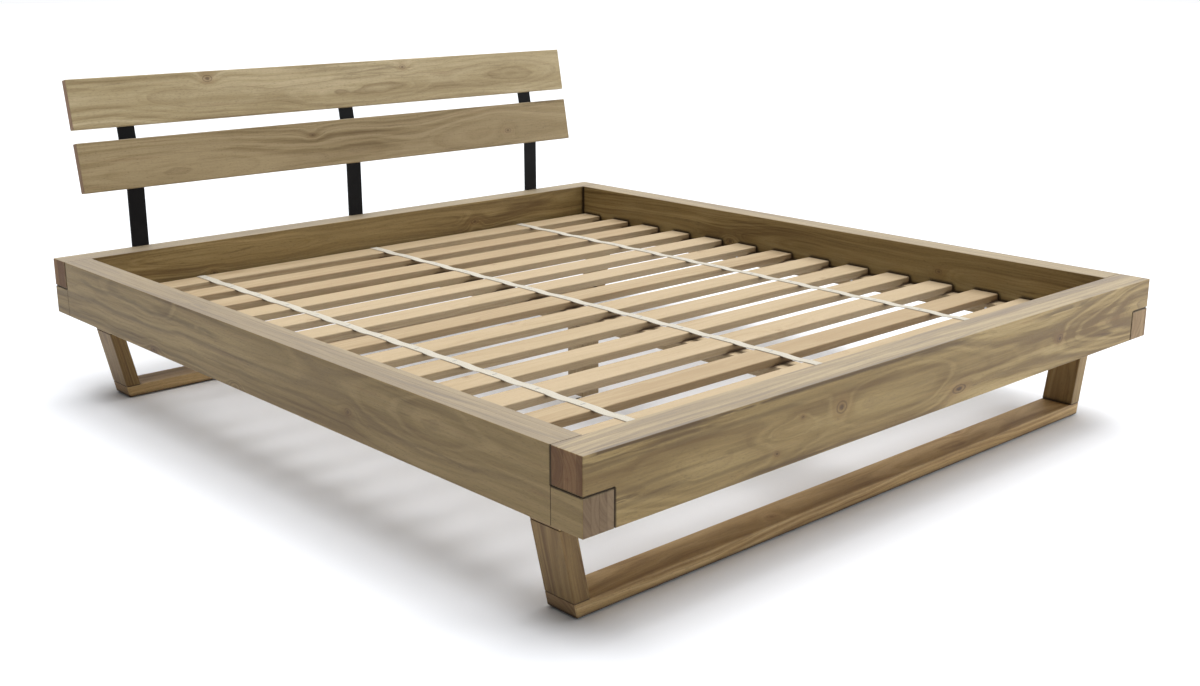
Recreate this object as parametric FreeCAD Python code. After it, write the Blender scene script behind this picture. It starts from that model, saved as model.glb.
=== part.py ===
import FreeCAD, Part
import math
import os

# A low double bed frame in solid wood. Four heavy rails are lapped at the corners and stand on two
# sledge feet. A reclined headboard of two planks is carried by three bent steel bars.
# Millimetres. +X is to the right seen from the foot, +Y is towards the head, +Z is up from the floor.
# The model is built about the mattress centre, and save() moves it to the centre of its own footprint.

V = FreeCAD.Vector

# Mattress space
mattress_width = 1800.0
mattress_length = 2000.0
mattress_side_clearance = 14.0
mattress_end_clearance = 10.0

# Rails
side_rail_thickness = 76.0
foot_rail_thickness = 84.0
head_rail_thickness = 76.0
rail_height = 152.0
rail_underside_z = 226.0
lap_height = 76.0
rail_edge_radius = 2.0
joint_chamfer = 3.0
shoulder_line_depth = 1.0

# Sledge feet
sledge_end_inset = 120.0
sledge_depth = 85.0
sledge_rail_overlap = 31.5
leg_lean_deg = 12.4
leg_width = 40.0
runner_height = 31.0
sledge_top_bar_height = 36.0
sledge_chamfer = 1.5
glide_thickness = 3.0
glide_width = 50.0
glide_depth = 60.0
glide_inset = 22.0
glide_corner_radius = 6.0

# Headboard
recline_deg = 11.0
plank_length = 1788.0
plank_height = 139.0
plank_thickness = 24.0
plank_gap = 36.0
plank_overhang_below_bend = 8.0
plank_fillet = 3.0
bracket_width = 50.0
bracket_thickness = 6.0
bracket_spacing = 733.0
bracket_bend_height = 174.0
bracket_foot_height = 30.0
bracket_top_margin = 25.0
bracket_bend_radius = 8.0
bracket_edge_chamfer = 0.6

# Slatted base
cleat_width = 40.0
cleat_height = 36.0
slat_count = 14
slat_width = 80.0
slat_thickness = 20.0
slat_side_clearance = 4.0
slat_end_clearance = 12.0
slat_fillet = 3.0
strap_width = 25.0
strap_thickness = 1.5
strap_spacing = 600.0
staple_wire = 1.2
staple_crown = 12.0
staple_leg = 10.0

# Centre support
centre_beam_width = 70.0
centre_beam_end_clearance = 3.0
centre_leg_width = 60.0
centre_leg_ground_gap = 28.0
wood_chamfer = 1.5
foot_pad_radius = 25.0
foot_pad_height = 8.0
foot_pad_chamfer = 1.5
foot_stud_radius = 5.0
foot_stud_length = 55.0
foot_stud_clearance = 0.08
foot_nut_height = 6.0
foot_nut_flats = 17.0
foot_insert_radius = 8.0
foot_insert_length = 20.0
foot_bore_slack = 20.0

# Fasteners
bolt_radius = 4.0
bolt_hole_clearance = 0.3
bolt_head_radius = 6.5
bolt_head_height = 8.0
bolt_head_clearance = 1.0
corner_counterbore = 14.0
corner_bolt_reach = 40.0
corner_bolt_offset = 16.0
insert_radius = 6.0
insert_length = 22.0
sledge_bolt_spacing = 45.0
bracket_bolt_heights = (30.0, 90.0)
bracket_bolt_depth = 50.0
hex_flats = 13.0
hex_height = 5.3
hex_crown = 0.95
washer_radius = 9.0
washer_thickness = 1.6
screw_radius = 2.25
screw_head_radius = 4.5
screw_head_depth = 2.5
plank_screw_depth = 16.0
plank_screw_spread = 38.0
cleat_screw_count = 9
cleat_screw_depth = 35.0
cleat_screw_margin = 90.0
beam_screw_depth = 28.0
beam_screw_spacing = 40.0
sledge_screw_depth = 45.0
sledge_screw_spacing = 45.0
centre_leg_screw_length = 60.0

# Worked out from the sizes above
inner_x = mattress_width / 2 + mattress_side_clearance
inner_y = mattress_length / 2 + mattress_end_clearance
outer_x = inner_x + side_rail_thickness
foot_y = -inner_y - foot_rail_thickness
head_y = inner_y + head_rail_thickness
lap_z = rail_underside_z + lap_height
rail_top_z = rail_underside_z + rail_height
cleat_top_z = rail_underside_z + cleat_height
slat_top_z = cleat_top_z + slat_thickness
runner_top_z = glide_thickness + runner_height
top_bar_z = rail_underside_z - sledge_top_bar_height
bend_z = rail_top_z + bracket_bend_height
headboard_height = 2 * plank_height + plank_gap
bracket_length = headboard_height - plank_overhang_below_bend - bracket_top_margin
recline = math.radians(recline_deg)
bracket_back_y = head_y + bracket_length * math.sin(recline) + bracket_thickness * math.cos(recline)
plank_back_y = head_y + (headboard_height - plank_overhang_below_bend) * math.sin(recline)
footprint_centre_y = (foot_y + max(bracket_back_y, plank_back_y)) / 2


def save(node, shape):
    """Writes one piece, or a group of identical fasteners, as its own STEP file."""
    shape.translated(V(0, -footprint_centre_y, 0)).exportStep(f"parts/{node}.step")


def block(x_range, y_range, z_range):
    """A box between two values on each axis, given in either order."""
    low = V(min(x_range), min(y_range), min(z_range))
    size = V(max(x_range), max(y_range), max(z_range)) - low
    return Part.makeBox(size.x, size.y, size.z, low)


def rod(start, direction, radius, length):
    return Part.makeCylinder(radius, length, start, direction)


def prism_along_y(points_xz, y_low, depth):
    """A straight prism: an outline in the XZ plane pushed along +Y."""
    corners = [V(x, y_low, z) for x, z in points_xz]
    return Part.Face(Part.makePolygon(corners + corners[:1])).extrude(V(0, depth, 0))


def hexagon(centre, direction, flats, height):
    """A hexagonal nut or bolt head standing on centre, its corners turned off at the far end."""
    corners = [
        V(flats / math.sqrt(3) * math.cos(turn), flats / math.sqrt(3) * math.sin(turn), 0)
        for turn in [math.radians(60 * i) for i in range(6)]
    ]
    crown_radius = hex_crown * flats / 2
    turned = Part.makeCone(crown_radius + height * math.sqrt(3), crown_radius, height)
    prism = Part.Face(Part.makePolygon(corners + corners[:1])).extrude(V(0, 0, height))
    solid = prism.common(turned)
    solid.Placement = FreeCAD.Placement(centre, FreeCAD.Rotation(V(0, 0, 1), direction))
    return solid


def eased(shape, chamfer, skip=None):
    """Takes the sharpness off every edge whose middle skip(point) doesn't pick out."""
    edges = [e for e in shape.Edges if skip is None or not skip(e.CenterOfMass)]
    return shape.makeChamfer(chamfer, edges)


def countersunk_screw(face_point, direction, length):
    """A wood screw whose flush head starts at face_point, and which points along direction."""
    head = Part.makeCone(screw_head_radius, screw_radius, screw_head_depth, face_point, direction)
    return head.fuse(rod(face_point, direction, screw_radius, length)).removeSplitter()


def drilled(shape, fasteners):
    """The shape with the room that the fasteners take removed."""
    reaching = [f for f in fasteners if f.BoundBox.intersect(shape.BoundBox)]
    return shape.cut(reaching) if reaching else shape


def reclined(shape):
    """Places a shape drawn against the bars' upper arms: +Z up the arm, +Y out of its back."""
    shape.Placement = FreeCAD.Placement(
        V(0, head_y, bend_z), FreeCAD.Rotation(V(1, 0, 0), -recline_deg)
    )
    return shape


def spread(half_span, count):
    """Evenly spaced places from -half_span to half_span."""
    return [-half_span + 2 * half_span * i / (count - 1) for i in range(count)]


# ---- fasteners of the lapped corners: bolts rise from under the side rails into the end rails


def corner_bolt_places():
    places = []
    for side in (-1, 1):
        for end_y in (foot_y + foot_rail_thickness / 2, head_y - head_rail_thickness / 2):
            for step in (-corner_bolt_offset, corner_bolt_offset):
                lap_centre_x = side * (inner_x + side_rail_thickness / 2)
                places.append(V(lap_centre_x + step, end_y + step, 0))
    return places


def at_height(place, z):
    return V(place.x, place.y, z)


def corner_bolts():
    head_z = rail_underside_z + corner_counterbore - bolt_head_height
    top_z = lap_z + corner_bolt_reach
    bolts = []
    for place in corner_bolt_places():
        head = rod(at_height(place, head_z), V(0, 0, 1), bolt_head_radius, bolt_head_height)
        shank = rod(at_height(place, head_z), V(0, 0, 1), bolt_radius, top_z - head_z)
        bolts.append(head.fuse(shank).removeSplitter())
    return bolts


def corner_bolt_room():
    """Counterbore, clearance hole and insert seat for each corner bolt."""
    room = []
    shank_radius = bolt_radius + bolt_hole_clearance
    shank_top = corner_bolt_reach + bolt_hole_clearance
    for place in corner_bolt_places():
        under = at_height(place, rail_underside_z)
        room.append(rod(under, V(0, 0, 1), bolt_head_radius + bolt_head_clearance, corner_counterbore))
        room.append(rod(under, V(0, 0, 1), shank_radius, lap_height + shank_top))
        room.append(rod(at_height(place, lap_z), V(0, 0, 1), insert_radius, insert_length))
    return room


def sledge_y(end):
    """The (low, high) Y span of the foot sledge (end -1) or the head sledge (end 1)."""
    outer = foot_y + sledge_end_inset if end < 0 else head_y - sledge_end_inset
    return (outer, outer - end * sledge_depth)


def sledge_centre_y(end):
    return sum(sledge_y(end)) / 2


def sledge_outer_x(z):
    """Half the width over the sledge's leaning ends at a height."""
    lean_in = (rail_underside_z - z) * math.tan(math.radians(leg_lean_deg))
    return inner_x + sledge_rail_overlap - lean_in


def sledge_bolt_places():
    """Midway between the cleat's inner edge and the leg, where a spanner still reaches the heads."""
    leg_inner_x = sledge_outer_x(top_bar_z - bolt_head_height) - leg_width
    bolt_x = (inner_x - cleat_width + leg_inner_x) / 2
    return [
        V(side * bolt_x, sledge_centre_y(end) + step, 0)
        for side in (-1, 1)
        for end in (-1, 1)
        for step in (-sledge_bolt_spacing / 2, sledge_bolt_spacing / 2)
    ]


def sledge_bolts():
    bolts = []
    for place in sledge_bolt_places():
        head_base = at_height(place, top_bar_z - bolt_head_height)
        head = rod(head_base, V(0, 0, 1), bolt_head_radius, bolt_head_height)
        length = bolt_head_height + sledge_top_bar_height + cleat_height - bolt_radius
        shank = rod(head_base, V(0, 0, 1), bolt_radius, length)
        bolts.append(head.fuse(shank).removeSplitter())
    return bolts


def sledge_bolt_room():
    room = []
    for place in sledge_bolt_places():
        height = cleat_top_z - top_bar_z
        shank_radius = bolt_radius + bolt_hole_clearance
        room.append(rod(at_height(place, top_bar_z), V(0, 0, 1), shank_radius, height))
        seat = at_height(place, cleat_top_z - insert_length)
        room.append(rod(seat, V(0, 0, 1), insert_radius, insert_length))
    return room


def threaded_insert(base):
    body = rod(base, V(0, 0, 1), insert_radius, insert_length)
    return body.cut(rod(base, V(0, 0, 1), bolt_radius + bolt_hole_clearance, insert_length))


def threaded_inserts():
    in_end_rails = [threaded_insert(at_height(p, lap_z)) for p in corner_bolt_places()]
    seat_z = cleat_top_z - insert_length
    return in_end_rails + [threaded_insert(at_height(p, seat_z)) for p in sledge_bolt_places()]


# ---- rails


def close(a, b):
    return abs(a - b) < 0.01


def wedge(edge, shape):
    """The sliver that a chamfer takes off a square outer edge, a little proud of its faces."""
    faces = shape.ancestorsOfType(edge, Part.Face)
    normals = [f.normalAt(0, 0) for f in faces]
    start = edge.Vertexes[0].Point
    along = edge.Vertexes[1].Point - start
    across = (normals[0] - normals[1]) * joint_chamfer
    outline = [
        start - normals[0] * joint_chamfer - across,
        start - normals[1] * joint_chamfer + across,
        start + (normals[0] + normals[1]) * joint_chamfer,
    ]
    return Part.Face(Part.makePolygon(outline + outline[:1])).extrude(along)


def rail_edges_eased(rail, is_seam, is_notch_corner):
    """Rounds the outer edges, and chamfers more deeply those that meet another rail."""
    outer_edges = [e for e in rail.Edges if not is_notch_corner(e.CenterOfMass)]
    wedges = [wedge(e, rail) for e in outer_edges if is_seam(e.CenterOfMass)]
    return rail.makeFillet(rail_edge_radius, outer_edges).cut(wedges)


def shoulder_lines(side):
    """Fine V-lines that carry the end rails' inner faces down over the tongues' outer faces."""
    depth = shoulder_line_depth
    face_x = side * outer_x
    cutters = []
    for y in (-inner_y, inner_y):
        outline = [V(face_x, y - depth, 0), V(face_x - side * depth, y, 0), V(face_x, y + depth, 0)]
        outline = [p + V(0, 0, rail_underside_z) for p in outline]
        triangle = Part.Face(Part.makePolygon(outline + outline[:1]))
        cutters.append(triangle.extrude(V(0, 0, lap_height - joint_chamfer)))
    return cutters


def side_rail(side):
    """The tongues at both ends are the lower halves of the corner laps."""
    x_range = (side * inner_x, side * outer_x)
    upper = block(x_range, (-inner_y, inner_y), (lap_z, rail_top_z))
    lower = block(x_range, (foot_y, head_y), (rail_underside_z, lap_z))
    rail = upper.fuse(lower).removeSplitter()

    def is_notch_corner(p):
        return close(abs(p.y), inner_y) and close(p.z, lap_z)

    def is_seam(p):
        if close(p.z, lap_z):
            return not is_notch_corner(p)
        at_shoulder = close(abs(p.y), inner_y) and close(abs(p.x), outer_x)
        at_tongue_end = (close(p.y, foot_y) or close(p.y, head_y)) and close(abs(p.x), inner_x)
        return at_shoulder or at_tongue_end

    return rail_edges_eased(rail, is_seam, is_notch_corner).cut(shoulder_lines(side))


def end_rail(inner_face_y, outer_face_y):
    """The ends of the upper half run over the side rails' tongues."""
    y_range = (inner_face_y, outer_face_y)
    upper = block((-outer_x, outer_x), y_range, (lap_z, rail_top_z))
    lower = block((-inner_x, inner_x), y_range, (rail_underside_z, lap_z))
    rail = upper.fuse(lower).removeSplitter()

    def is_notch_corner(p):
        return close(abs(p.x), inner_x) and close(p.z, lap_z)

    def is_seam(p):
        if close(p.z, lap_z):
            return not is_notch_corner(p)
        at_end = close(abs(p.x), outer_x) and close(p.y, inner_face_y)
        at_shoulder = close(abs(p.x), inner_x) and close(p.y, outer_face_y)
        return at_end or at_shoulder

    return rail_edges_eased(rail, is_seam, is_notch_corner)


# ---- sledge feet: trapezoids, wide side up, whose ends follow the legs' lean


def sledge_bar(end, z_low, z_high):
    """A cross bar of the sledge, its ends cut to the lean of the legs."""
    outline = [
        (-sledge_outer_x(z_low), z_low),
        (sledge_outer_x(z_low), z_low),
        (sledge_outer_x(z_high), z_high),
        (-sledge_outer_x(z_high), z_high),
    ]
    return eased(prism_along_y(outline, min(sledge_y(end)), sledge_depth), sledge_chamfer)


def sledge_leg(end, side):
    outline = [
        (side * sledge_outer_x(runner_top_z), runner_top_z),
        (side * (sledge_outer_x(runner_top_z) - leg_width), runner_top_z),
        (side * (sledge_outer_x(top_bar_z) - leg_width), top_bar_z),
        (side * sledge_outer_x(top_bar_z), top_bar_z),
    ]
    return eased(prism_along_y(outline, min(sledge_y(end)), sledge_depth), sledge_chamfer)


def sledge_screws():
    """Two screws into each end of each leg, from under the runner and from the top bar."""
    screws = []
    for end in (-1, 1):
        for side in (-1, 1):
            for step in (-sledge_screw_spacing / 2, sledge_screw_spacing / 2):
                y = sledge_centre_y(end) + step
                low_x = side * (sledge_outer_x(runner_top_z) - leg_width / 2)
                high_x = side * (sledge_outer_x(top_bar_z) - leg_width / 2)
                low_length = runner_height + sledge_screw_depth
                high_length = sledge_top_bar_height + sledge_screw_depth
                low_start = V(low_x, y, glide_thickness)
                high_start = V(high_x, y, rail_underside_z)
                screws.append(countersunk_screw(low_start, V(0, 0, 1), low_length))
                screws.append(countersunk_screw(high_start, V(0, 0, -1), high_length))
    return screws


def glide(end, side):
    """A thin plastic glide with rounded corners, under one end of a runner."""
    outer = side * (sledge_outer_x(glide_thickness) - glide_inset)
    centre_y = sledge_centre_y(end)
    y_range = (centre_y - glide_depth / 2, centre_y + glide_depth / 2)
    pad = block((outer, outer - side * glide_width), y_range, (0, glide_thickness))
    corners = [e for e in pad.Edges if close(e.CenterOfMass.z, glide_thickness / 2)]
    return pad.makeFillet(glide_corner_radius, corners)


# ---- headboard


def bracket_places():
    return [("left", -bracket_spacing), ("centre", 0.0), ("right", bracket_spacing)]


def bracket(centre_x):
    """A flat bar that stands against the head rail's back and is bent back behind the planks."""
    foot = (head_y, rail_underside_z + bracket_foot_height)
    up = (math.sin(recline), math.cos(recline))
    back = (math.cos(recline), -math.sin(recline))
    tip = (head_y + bracket_length * up[0], bend_z + bracket_length * up[1])
    mitre = bracket_thickness / (1 + math.cos(recline))
    outline = [
        foot,
        (head_y, bend_z),
        tip,
        (tip[0] + bracket_thickness * back[0], tip[1] + bracket_thickness * back[1]),
        (head_y + mitre * (1 + back[0]), bend_z + mitre * back[1]),
        (head_y + bracket_thickness, foot[1]),
    ]
    corners = [V(centre_x - bracket_width / 2, y, z) for y, z in outline]
    bar = Part.Face(Part.makePolygon(corners + corners[:1])).extrude(V(bracket_width, 0, 0))
    bend_edges = [
        e
        for e in bar.Edges
        if abs(e.CenterOfMass.x - centre_x) < 0.01 and abs(e.CenterOfMass.z - bend_z) < 1
    ]
    bar = bar.makeFillet(bracket_bend_radius, bend_edges)
    ends = (foot[1], tip[1] - bracket_thickness * math.sin(recline))
    end_edges = [
        e for e in bar.Edges if e.CenterOfMass.z < ends[0] + 0.01 or e.CenterOfMass.z > ends[1] - 0.01
    ]
    return bar.makeChamfer(bracket_edge_chamfer, end_edges)


def plank(low):
    """One headboard plank, lying on the bars' upper arms from height low along them."""
    board = Part.makeBox(
        plank_length, plank_thickness, plank_height, V(-plank_length / 2, -plank_thickness, low)
    )
    return reclined(board.makeFillet(plank_fillet, board.Edges))


def plank_lows():
    """Where the lower and the upper plank start along the bars' upper arms."""
    return (-plank_overhang_below_bend, plank_height + plank_gap - plank_overhang_below_bend)


def plank_screws():
    screws = []
    for _, centre_x in bracket_places():
        for low in plank_lows():
            for step in (-plank_screw_spread, plank_screw_spread):
                start = V(centre_x, bracket_thickness, low + plank_height / 2 + step)
                length = bracket_thickness + plank_screw_depth
                screws.append(reclined(countersunk_screw(start, V(0, -1, 0), length)))
    return screws


def bracket_bolt_places():
    foot_z = rail_underside_z + bracket_foot_height
    return [V(x, 0, foot_z + h) for _, x in bracket_places() for h in bracket_bolt_heights]


def bracket_bolts():
    under_head_y = head_y + bracket_thickness + washer_thickness
    bolts = []
    for place in bracket_bolt_places():
        start = V(place.x, under_head_y, place.z)
        head = hexagon(start, V(0, 1, 0), hex_flats, hex_height)
        length = under_head_y - head_y + bracket_bolt_depth
        bolts.append(head.fuse(rod(start, V(0, -1, 0), bolt_radius, length)).removeSplitter())
    return bolts


def bracket_bolt_clearance():
    """Clearance holes through the bars only: the bolts' threads hold in the head rail."""
    radius = bolt_radius + bolt_hole_clearance
    return [
        rod(V(p.x, head_y, p.z), V(0, 1, 0), radius, bracket_thickness)
        for p in bracket_bolt_places()
    ]


def bracket_washers():
    washers = []
    for p in bracket_bolt_places():
        start = V(p.x, head_y + bracket_thickness, p.z)
        disc = rod(start, V(0, 1, 0), washer_radius, washer_thickness)
        hole_radius = bolt_radius + bolt_hole_clearance
        washers.append(disc.cut(rod(start, V(0, 1, 0), hole_radius, washer_thickness)))
    return washers


# ---- slatted base and its centre support


def cleat(side):
    x_range = (side * inner_x, side * (inner_x - cleat_width))
    solid = block(x_range, (-inner_y, inner_y), (rail_underside_z, cleat_top_z))
    return eased(solid, wood_chamfer)


def cleat_screws():
    screws = []
    for side in (-1, 1):
        for y in spread(inner_y - cleat_screw_margin, cleat_screw_count):
            start = V(side * (inner_x - cleat_width), y, rail_underside_z + cleat_height / 2)
            screws.append(countersunk_screw(start, V(side, 0, 0), cleat_width + cleat_screw_depth))
    return screws


def slat_places():
    return spread(inner_y - slat_end_clearance - slat_width / 2, slat_count)


def slat(centre_y):
    half_length = inner_x - slat_side_clearance
    board = block(
        (-half_length, half_length),
        (centre_y - slat_width / 2, centre_y + slat_width / 2),
        (cleat_top_z, slat_top_z),
    )
    long_edges = [e for e in board.Edges if abs(e.CenterOfMass.x) < 0.01]
    return board.makeFillet(slat_fillet, long_edges)


def strap_places():
    return [("left", -strap_spacing), ("centre", 0.0), ("right", strap_spacing)]


def strap(centre_x):
    """Webbing that keeps the slats at their spacing."""
    x_range = (centre_x - strap_width / 2, centre_x + strap_width / 2)
    reach = inner_y - slat_end_clearance - slat_fillet
    return block(x_range, (-reach, reach), (slat_top_z, slat_top_z + strap_thickness))


def staple(centre_x, centre_y):
    crown_z = slat_top_z + strap_thickness
    y_range = (centre_y - staple_wire / 2, centre_y + staple_wire / 2)
    half = staple_crown / 2
    solid = block((centre_x - half, centre_x + half), y_range, (crown_z, crown_z + staple_wire))
    for side in (-1, 1):
        x_range = (centre_x + side * half, centre_x + side * (half - staple_wire))
        solid = solid.fuse(block(x_range, y_range, (crown_z - staple_leg, crown_z)))
    return solid.removeSplitter()


def strap_staples():
    return [staple(x, y) for _, x in strap_places() for y in slat_places()]


def centre_beam():
    """Lies on the sledges' top bars and the centre leg, level with the cleats."""
    half_length = inner_y - centre_beam_end_clearance
    half_width = centre_beam_width / 2
    z_range = (rail_underside_z, cleat_top_z)
    beam = block((-half_width, half_width), (-half_length, half_length), z_range)
    return eased(beam, wood_chamfer)


def beam_screws():
    """A pair of screws down through the centre beam into each sledge's top bar."""
    length = cleat_height + beam_screw_depth
    half = beam_screw_spacing / 2
    places = [V(x, sledge_centre_y(end), cleat_top_z) for end in (-1, 1) for x in (-half, half)]
    return [countersunk_screw(place, V(0, 0, -1), length) for place in places]


def centre_leg():
    half = centre_leg_width / 2
    post = block((-half, half), (-half, half), (centre_leg_ground_gap, rail_underside_z))
    return eased(post, wood_chamfer)


def centre_leg_screw():
    """A double-ended screw that holds the leg under the beam."""
    low = rail_underside_z - centre_leg_screw_length / 2
    return rod(V(0, 0, low), V(0, 0, 1), bolt_radius, centre_leg_screw_length)


def foot_insert():
    base = V(0, 0, centre_leg_ground_gap)
    body = rod(base, V(0, 0, 1), foot_insert_radius, foot_insert_length)
    bore = rod(base, V(0, 0, 1), foot_stud_radius + foot_stud_clearance, foot_insert_length)
    return body.cut(bore)


def foot_room():
    """The insert's seat and, above it, the bore that the stud screws up into."""
    base = V(0, 0, centre_leg_ground_gap)
    seat = rod(base, V(0, 0, 1), foot_insert_radius, foot_insert_length)
    bore_top = foot_pad_height + foot_stud_length + foot_bore_slack
    bore_radius = foot_stud_radius + bolt_hole_clearance
    return seat.fuse(rod(base, V(0, 0, 1), bore_radius, bore_top - centre_leg_ground_gap))


def foot_stud():
    start = V(0, 0, foot_pad_height)
    return rod(start, V(0, 0, 1), foot_stud_radius, foot_stud_length)


def foot_nut():
    start = V(0, 0, foot_pad_height)
    nut = hexagon(start, V(0, 0, 1), foot_nut_flats, foot_nut_height)
    return nut.cut(rod(start, V(0, 0, 1), foot_stud_radius, foot_nut_height))


def foot_pad():
    pad = rod(V(0, 0, 0), V(0, 0, 1), foot_pad_radius, foot_pad_height)
    rims = [e for e in pad.Edges if isinstance(e.Curve, Part.Circle)]
    return pad.makeChamfer(foot_pad_chamfer, rims)


def build():
    os.makedirs("parts", exist_ok=True)
    groups = {
        "corner_bolts": corner_bolts(),
        "sledge_bolts": sledge_bolts(),
        "threaded_inserts": threaded_inserts(),
        "sledge_screws": sledge_screws(),
        "bracket_bolts": bracket_bolts(),
        "bracket_washers": bracket_washers(),
        "plank_screws": plank_screws(),
        "cleat_screws": cleat_screws(),
        "beam_screws": beam_screws(),
        "strap_staples": strap_staples(),
    }
    for node, solids in groups.items():
        save(node, Part.makeCompound(solids))

    side_rail_room = corner_bolt_room() + groups["cleat_screws"]
    for side, name in ((-1, "left"), (1, "right")):
        save(f"side_rail_{name}", drilled(side_rail(side), side_rail_room))
        save(f"slat_cleat_{name}", drilled(cleat(side), sledge_bolt_room() + groups["cleat_screws"]))

    end_rail_room = corner_bolt_room() + groups["bracket_bolts"]
    save("foot_rail", drilled(end_rail(-inner_y, foot_y), end_rail_room))
    save("head_rail", drilled(end_rail(inner_y, head_y), end_rail_room))

    sledge_room = sledge_bolt_room() + groups["sledge_screws"] + groups["beam_screws"]
    for end, end_name in ((-1, "foot"), (1, "head")):
        top_bar = sledge_bar(end, top_bar_z, rail_underside_z)
        runner = sledge_bar(end, glide_thickness, runner_top_z)
        save(f"{end_name}_sledge_top_bar", drilled(top_bar, sledge_room))
        save(f"{end_name}_sledge_runner", drilled(runner, sledge_room))
        for side, side_name in ((-1, "left"), (1, "right")):
            save(f"{end_name}_sledge_leg_{side_name}", drilled(sledge_leg(end, side), sledge_room))
            save(f"{end_name}_glide_{side_name}", glide(end, side))

    for name, centre_x in bracket_places():
        bar = drilled(bracket(centre_x), bracket_bolt_clearance() + groups["plank_screws"])
        save(f"headboard_bracket_{name}", bar)
    for name, low in zip(("lower", "upper"), plank_lows()):
        save(f"headboard_plank_{name}", drilled(plank(low), groups["plank_screws"]))

    for number, centre_y in enumerate(slat_places(), start=1):
        save(f"slat_{number:02d}", drilled(slat(centre_y), groups["strap_staples"]))
    for name, centre_x in strap_places():
        save(f"webbing_strap_{name}", drilled(strap(centre_x), groups["strap_staples"]))

    save("centre_beam", drilled(centre_beam(), [centre_leg_screw()] + groups["beam_screws"]))
    save("centre_leg", centre_leg().cut([centre_leg_screw(), foot_room()]))
    save("centre_leg_screw", centre_leg_screw())
    save("centre_leg_insert", foot_insert())
    save("centre_foot_stud", foot_stud())
    save("centre_foot_nut", foot_nut())
    save("centre_foot_pad", foot_pad())


build()
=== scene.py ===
import math

import bpy
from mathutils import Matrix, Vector


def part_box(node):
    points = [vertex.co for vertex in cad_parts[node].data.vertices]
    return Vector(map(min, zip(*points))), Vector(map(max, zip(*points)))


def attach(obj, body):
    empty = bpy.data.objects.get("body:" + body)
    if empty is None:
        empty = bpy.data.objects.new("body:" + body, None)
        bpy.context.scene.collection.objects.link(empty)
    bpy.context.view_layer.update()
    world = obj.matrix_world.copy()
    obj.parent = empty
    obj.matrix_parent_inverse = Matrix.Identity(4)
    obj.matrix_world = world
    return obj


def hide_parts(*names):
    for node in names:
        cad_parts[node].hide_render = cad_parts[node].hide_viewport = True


# A low wooden double bed: lapped hardwood rails on two sledge feet, a reclined plank headboard on
# black steel bars, and a softwood slatted base held by webbing. Metres, in the frame of the CAD model:
# +X right seen from the foot, +Y towards the head, +Z up.

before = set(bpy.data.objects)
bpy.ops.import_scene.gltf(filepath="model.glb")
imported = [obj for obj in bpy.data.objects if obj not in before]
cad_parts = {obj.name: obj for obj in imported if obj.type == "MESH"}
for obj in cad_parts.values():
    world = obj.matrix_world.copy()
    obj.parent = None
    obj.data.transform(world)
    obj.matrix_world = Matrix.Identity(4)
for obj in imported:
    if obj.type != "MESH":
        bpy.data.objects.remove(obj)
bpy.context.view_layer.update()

ALONG_X = (1.0, 0.0, 0.0)
ALONG_Y = (0.0, 1.0, 0.0)
ALONG_Z = (0.0, 0.0, 1.0)
TOWARDS_FOOT = (0.0, -1.0, 0.0)
TOWARDS_LEFT = (-1.0, 0.0, 0.0)
MIDDLE_GREY = (0.5, 0.5, 0.5)

# Each side of the bed and its sign along X, and the slats from the first to the last.
SIDES = (("left", -1.0), ("right", 1.0))
SLATS = [f"slat_{number:02d}" for number in range(1, 15)]

LEG_LEAN = math.radians(12.4)
HEADBOARD_RECLINE = math.radians(11.0)

# How much of the timber's tone comes from its rings, its slow clouds and its streaks, and at which tones
# the palette's shades lie.
BAND_SHARE = 0.60
CLOUD_SHARE = 0.72
STREAK_SHARE = 0.60
TONE_OF_SHADE = {"dark": 0.29, "middle": 0.47, "pale": 0.66}

# How strongly each effect colours the timber.
LATE_WOOD_SHARE = 0.85
RED_SHARE = 0.40
MINERAL_SHARE = 0.65
PORE_SHARE = 0.40
KNOT_HALO_SHARE = 0.55
# Painted sheen: faces that look up are paler, standing in for the white room's reflection.
TOP_SHEEN_SHARE = 0.28
GLUE_SHARE = 0.45
WEAR_SHARE = 0.60
# Painted shade: how strongly the crevice mask darkens the timber where pieces meet.
CREVICE_SHADE_SHARE = 0.90

# How far the shared effects reach from an edge or a crevice, and how deep each surface's relief is.
WEAR_REACH = 0.003
CREVICE_SHADE_REACH = 0.012
TAPE_CREVICE_SHADE_REACH = 0.004
STEEL_WEAR_REACH = 0.0012
TIMBER_RELIEF = 0.0006
TAPE_RELIEF = 0.0005
STEEL_RELIEF = 0.0003
TIMBER_SPECULAR = 0.24

# The webbing: its threads, how far it sags between slats, and its mesh.
WEFT_SPACING = 0.0014
WARP_FOLD = 0.0042
STRAP_SAG = 0.002
STRAP_ROWS_A_SLAT = 12
STRAP_COLUMNS = 4
STRAP_SMOOTHING = math.radians(40)

# The floor, the lights (their power, where they stand and which way they shine) and the camera.
FLOOR_SIZE = 60.0
ROOM_LIGHT = 0.08
ROOM_GLOSS = 0.7
OVERHEAD_LIGHT = 4.7
OVERHEAD_PLACE = (0.0, 0.0, 3.0)
OVERHEAD_TOWARDS = (-0.12, -0.05, -1.0)
OVERHEAD_SPREAD = math.radians(68.0)
FRONT_LIGHT = 73.0
FRONT_PLACE = (3.5, -3.4, 1.35)
FRONT_TOWARDS = (-2.8, 2.5, -1.0)
FRONT_SIZE = (2.0, 1.6)
CAMERA_PLACE = (-2.5103, -2.8065, 1.2024)
CAMERA_TURN_RIGHT = 0.7465
CAMERA_LOOK_DOWN = 0.2691
CAMERA_LENS = 42.93
CAMERA_SENSOR = 36.0


# ---------------------------------------------------------------- node building


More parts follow.
